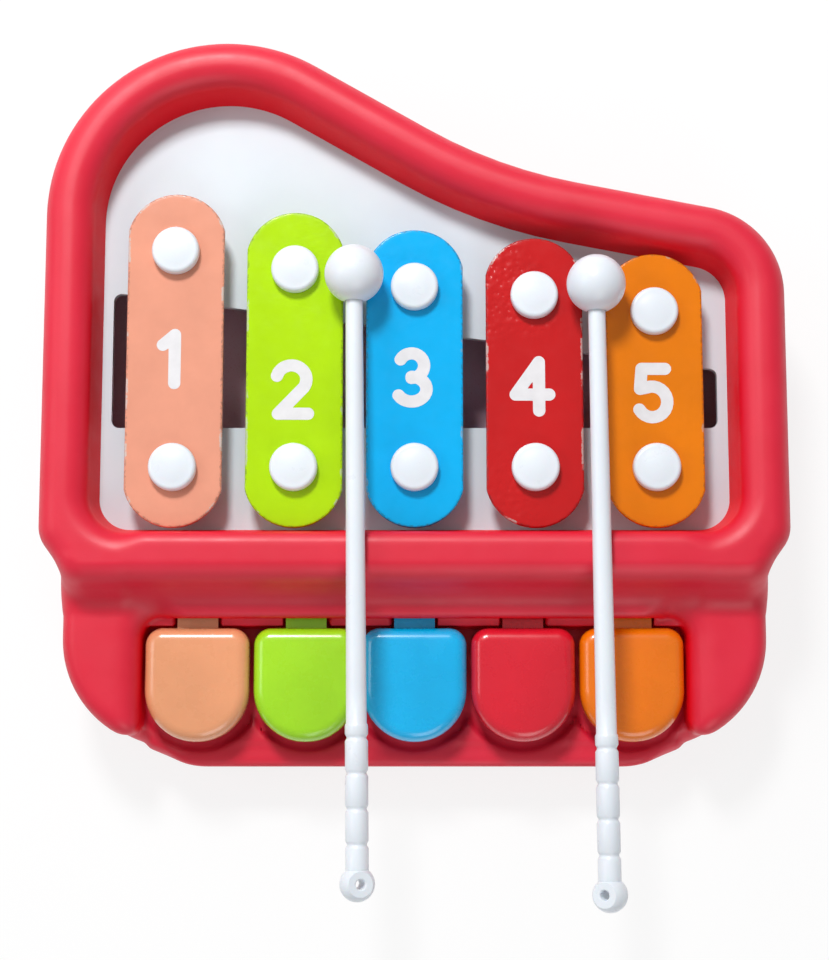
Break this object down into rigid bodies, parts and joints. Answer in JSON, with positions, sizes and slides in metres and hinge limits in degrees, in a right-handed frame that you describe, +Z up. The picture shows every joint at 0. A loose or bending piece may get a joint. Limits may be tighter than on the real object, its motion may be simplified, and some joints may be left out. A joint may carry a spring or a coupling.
{
  "type": "toy xylophone piano",
  "caption": "Toy xylophone shaped like a small grand piano, with coloured metal bars in a sunk window, matching keys that strike them from below, and two mallets laid across it.",
  "frame": {"origin": "under the middle of the toy with its mallets, on the plane that the feet stand on", "axes": "+Z up, +X towards the shortest tone bar, +Y from the keys towards the curved back"},
  "size_m": [0.23, 0.2685, 0.0592],
  "materials": {
    "red_plastic": "semi-gloss moulded plastic",
    "white_plastic": "semi-gloss moulded plastic",
    "peach_paint": "gloss paint on sheet metal",
    "lime_paint": "gloss paint on sheet metal",
    "blue_paint": "gloss paint on sheet metal",
    "scarlet_paint": "gloss paint on sheet metal",
    "orange_paint": "gloss paint on sheet metal",
    "peach_key": "glossy moulded plastic",
    "lime_key": "glossy moulded plastic",
    "blue_key": "glossy moulded plastic",
    "crimson_key": "glossy moulded plastic",
    "orange_key": "glossy moulded plastic",
    "foam": "soft foam",
    "steel": "bright drawn steel",
    "rubber": "matte rubber"
  },
  "bodies": {
    "casing": {"housing": "red_plastic", "back_cover": "red_plastic", "deck": "white_plastic", "tone_bar_1": "peach_paint", "tone_bar_2": "lime_paint", "tone_bar_3": "blue_paint", "tone_bar_4": "scarlet_paint", "tone_bar_5": "orange_paint", "bar_pin_front_1": "white_plastic", "bar_pin_front_2": "white_plastic", "bar_pin_front_3": "white_plastic", "bar_pin_front_4": "white_plastic", "bar_pin_front_5": "white_plastic", "bar_pin_rear_1": "white_plastic", "bar_pin_rear_2": "white_plastic", "bar_pin_rear_3": "white_plastic", "bar_pin_rear_4": "white_plastic", "bar_pin_rear_5": "white_plastic", "bar_pad_front_1": "foam", "bar_pad_front_2": "foam", "bar_pad_front_3": "foam", "bar_pad_front_4": "foam", "bar_pad_front_5": "foam", "bar_pad_rear_1": "foam", "bar_pad_rear_2": "foam", "bar_pad_rear_3": "foam", "bar_pad_rear_4": "foam", "bar_pad_rear_5": "foam", "key_spring_1": "steel", "key_spring_2": "steel", "key_spring_3": "steel", "key_spring_4": "steel", "key_spring_5": "steel", "key_axle": "steel", "cover_screw_1": "steel", "cover_screw_2": "steel", "cover_screw_3": "steel", "cover_screw_4": "steel", "deck_screw_1": "steel", "deck_screw_2": "steel", "deck_screw_3": "steel", "deck_screw_4": "steel", "foot_1": "rubber", "foot_2": "rubber", "foot_3": "rubber", "foot_4": "rubber"},
    "lever_1": {"key_1": "peach_key", "hammer_head_1": "white_plastic"},
    "lever_2": {"key_2": "lime_key", "hammer_head_2": "white_plastic"},
    "lever_3": {"key_3": "blue_key", "hammer_head_3": "white_plastic"},
    "lever_4": {"key_4": "crimson_key", "hammer_head_4": "white_plastic"},
    "lever_5": {"key_5": "orange_key", "hammer_head_5": "white_plastic"},
    "mallet_left": {"mallet_left_handle": "white_plastic", "mallet_left_head": "white_plastic"},
    "mallet_right": {"mallet_right_handle": "white_plastic", "mallet_right_head": "white_plastic"}
  },
  "joints": [
    {"name": "key_1_press", "type": "hinge", "parent": "casing", "child": "lever_1", "pos_m": [-0.0673, -0.03718, 0.024], "axis": [1, 0, 0], "range_deg": [0, 7], "stiffness_Nm_per_rad": 0.15, "springref_deg": -5.73, "deforming": ["key_spring_1"]},
    {"name": "key_2_press", "type": "hinge", "parent": "casing", "child": "lever_2", "pos_m": [-0.03365, -0.03718, 0.024], "axis": [1, 0, 0], "range_deg": [0, 7], "stiffness_Nm_per_rad": 0.15, "springref_deg": -5.73, "deforming": ["key_spring_2"]},
    {"name": "key_3_press", "type": "hinge", "parent": "casing", "child": "lever_3", "pos_m": [0, -0.03718, 0.024], "axis": [1, 0, 0], "range_deg": [0, 7], "stiffness_Nm_per_rad": 0.15, "springref_deg": -5.73, "deforming": ["key_spring_3"]},
    {"name": "key_4_press", "type": "hinge", "parent": "casing", "child": "lever_4", "pos_m": [0.03365, -0.03718, 0.024], "axis": [1, 0, 0], "range_deg": [0, 7], "stiffness_Nm_per_rad": 0.15, "springref_deg": -5.73, "deforming": ["key_spring_4"]},
    {"name": "key_5_press", "type": "hinge", "parent": "casing", "child": "lever_5", "pos_m": [0.0673, -0.03718, 0.024], "axis": [1, 0, 0], "range_deg": [0, 7], "stiffness_Nm_per_rad": 0.15, "springref_deg": -5.73, "deforming": ["key_spring_5"]},
    {"name": "mallet_left_lift", "type": "slide", "parent": "casing", "child": "mallet_left", "axis": [0, 0, 1], "range_m": [0, 0.08]},
    {"name": "mallet_right_lift", "type": "slide", "parent": "casing", "child": "mallet_right", "axis": [0, 0, 1], "range_m": [0, 0.08]}
  ]
}
